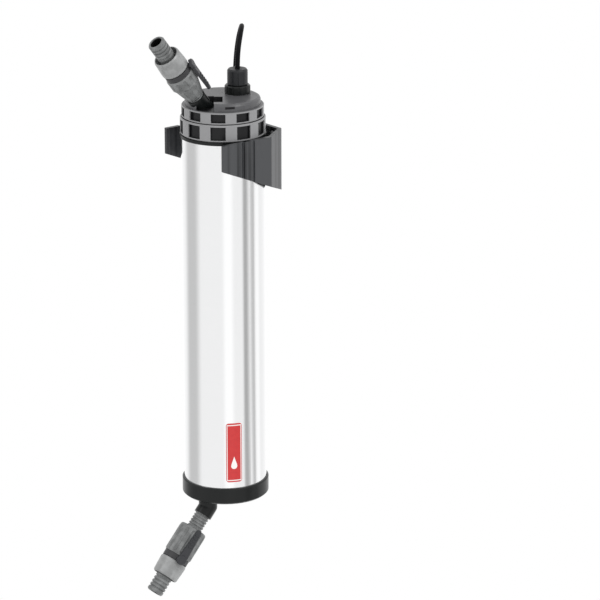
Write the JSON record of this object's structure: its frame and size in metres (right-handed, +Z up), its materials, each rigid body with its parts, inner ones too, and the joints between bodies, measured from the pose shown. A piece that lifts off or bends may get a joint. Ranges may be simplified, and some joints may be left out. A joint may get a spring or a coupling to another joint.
{
  "type": "uv clarifier",
  "caption": "Upright inline ultraviolet water clarifier in a metal sleeve, hung in a wall bracket, with a ribbed head, shut-off hose connectors and a mains lead.",
  "frame": {"origin": "on the wall bracket's back face, midway between its four screw holes", "axes": "+Z up along the tube, +Y out of the bracket's back face towards the wall, the connectors lean towards -Y"},
  "size_m": [0.1095, 0.1442, 0.553],
  "materials": {
    "bracket_plastic": "satin",
    "soft_rubber": "matte",
    "metal_sleeve": "satin",
    "liner_plastic": "matte",
    "black_plastic": "gloss",
    "gland_plastic": "satin",
    "badge_red": "gloss",
    "steel": "satin",
    "quartz": "clear",
    "lamp_glass": "clear",
    "white_plastic": "satin",
    "wire": "satin",
    "board": "satin",
    "electronics": "satin",
    "cord_black": "matte",
    "tie_black": "matte",
    "grey_ribbed": "satin",
    "grey_smooth": "satin",
    "valve_ball": "gloss",
    "lever_dark": "satin"
  },
  "bodies": {
    "bracket": {"wall_bracket": "bracket_plastic", "bracket_pads": "soft_rubber", "bracket_buffers": "soft_rubber"},
    "housing": {"housing_tube": "metal_sleeve", "inner_liner": "liner_plastic", "hanger_ring": "black_plastic", "bottom_cap": "black_plastic", "bottom_seal": "soft_rubber", "flow_guide": "liner_plastic", "badge": "badge_red"},
    "head": {"head_base": "black_plastic", "head_shell": "black_plastic", "inlet_neck": "black_plastic", "head_screws": "steel", "head_seal": "soft_rubber", "quartz_sleeve": "quartz", "sleeve_seal": "soft_rubber", "sleeve_nut": "black_plastic", "sleeve_bumper": "soft_rubber", "uv_lamp": "lamp_glass", "lamp_base": "white_plastic", "lamp_pins": "steel", "lamp_holder": "white_plastic", "lamp_leads": "wire", "ballast_board": "board", "ballast_parts": "electronics", "gland_base": "black_plastic", "gland_seal": "soft_rubber", "mains_cord_inner": "cord_black", "inlet_spigot": "grey_ribbed", "inlet_valve_body": "grey_smooth", "inlet_ball_seats": "white_plastic", "inlet_hose_tail": "grey_ribbed", "mains_cord_lead": "cord_black", "mains_cord_hank": "cord_black", "mains_cord_tail": "cord_black", "cord_tie": "tie_black", "plug_body": "cord_black", "plug_pins": "steel"},
    "collar": {"locking_collar": "black_plastic"},
    "gland_nut": {"gland_nut": "gland_plastic"},
    "inlet_union": {"inlet_union_nut": "grey_ribbed"},
    "inlet_clamp": {"inlet_clamp_nut": "grey_smooth"},
    "inlet_valve": {"inlet_valve_ball": "valve_ball", "inlet_lever": "lever_dark"},
    "outlet": {"outlet_elbow": "black_plastic", "outlet_clip": "steel", "outlet_seal": "soft_rubber", "outlet_spigot": "grey_ribbed", "outlet_valve_body": "grey_smooth", "outlet_ball_seats": "white_plastic", "outlet_hose_tail": "grey_ribbed"},
    "outlet_union": {"outlet_union_nut": "grey_ribbed"},
    "outlet_clamp": {"outlet_clamp_nut": "grey_smooth"},
    "outlet_valve": {"outlet_valve_ball": "valve_ball", "outlet_lever": "lever_dark"}
  },
  "joints": [
    {"name": "housing_lift", "type": "slide", "parent": "bracket", "child": "housing", "axis": [0, 0, 1], "range_m": [0, 0.03]},
    {"name": "head_lift", "type": "slide", "parent": "housing", "child": "head", "axis": [0, 0, 1], "range_m": [0, 0.3]},
    {"name": "collar_turn", "type": "hinge", "parent": "head", "child": "collar", "pos_m": [0, -0.05, 0.031], "axis": [0, 0, 1], "range_deg": [0, 45]},
    {"name": "gland_nut_turn", "type": "hinge", "parent": "head", "child": "gland_nut", "pos_m": [0, -0.0321, 0.072], "axis": [0, 0, 1], "continuous": true},
    {"name": "inlet_union_turn", "type": "hinge", "parent": "head", "child": "inlet_union", "pos_m": [0, -0.09194, 0.07552], "axis": [0, -0.6157, 0.788], "continuous": true},
    {"name": "inlet_clamp_turn", "type": "hinge", "parent": "head", "child": "inlet_clamp", "pos_m": [0, -0.11041, 0.09916], "axis": [0, -0.6157, 0.788], "continuous": true},
    {"name": "inlet_valve_turn", "type": "hinge", "parent": "head", "child": "inlet_valve", "pos_m": [0, -0.10326, 0.09002], "axis": [0.6428, 0.6037, 0.4716], "range_deg": [0, 90]},
    {"name": "outlet_swivel", "type": "hinge", "parent": "housing", "child": "outlet", "pos_m": [0, -0.072, -0.335], "axis": [0, 0, 1], "continuous": true},
    {"name": "outlet_union_turn", "type": "hinge", "parent": "outlet", "child": "outlet_union", "pos_m": [0, -0.0999, -0.38025], "axis": [0, -0.6756, -0.7373], "continuous": true},
    {"name": "outlet_clamp_turn", "type": "hinge", "parent": "outlet", "child": "outlet_clamp", "pos_m": [0, -0.12017, -0.40237], "axis": [0, -0.6756, -0.7373], "continuous": true},
    {"name": "outlet_valve_turn", "type": "hinge", "parent": "outlet", "child": "outlet_valve", "pos_m": [0, -0.11233, -0.39382], "axis": [0.9397, -0.2522, 0.2311], "range_deg": [0, 90]}
  ]
}
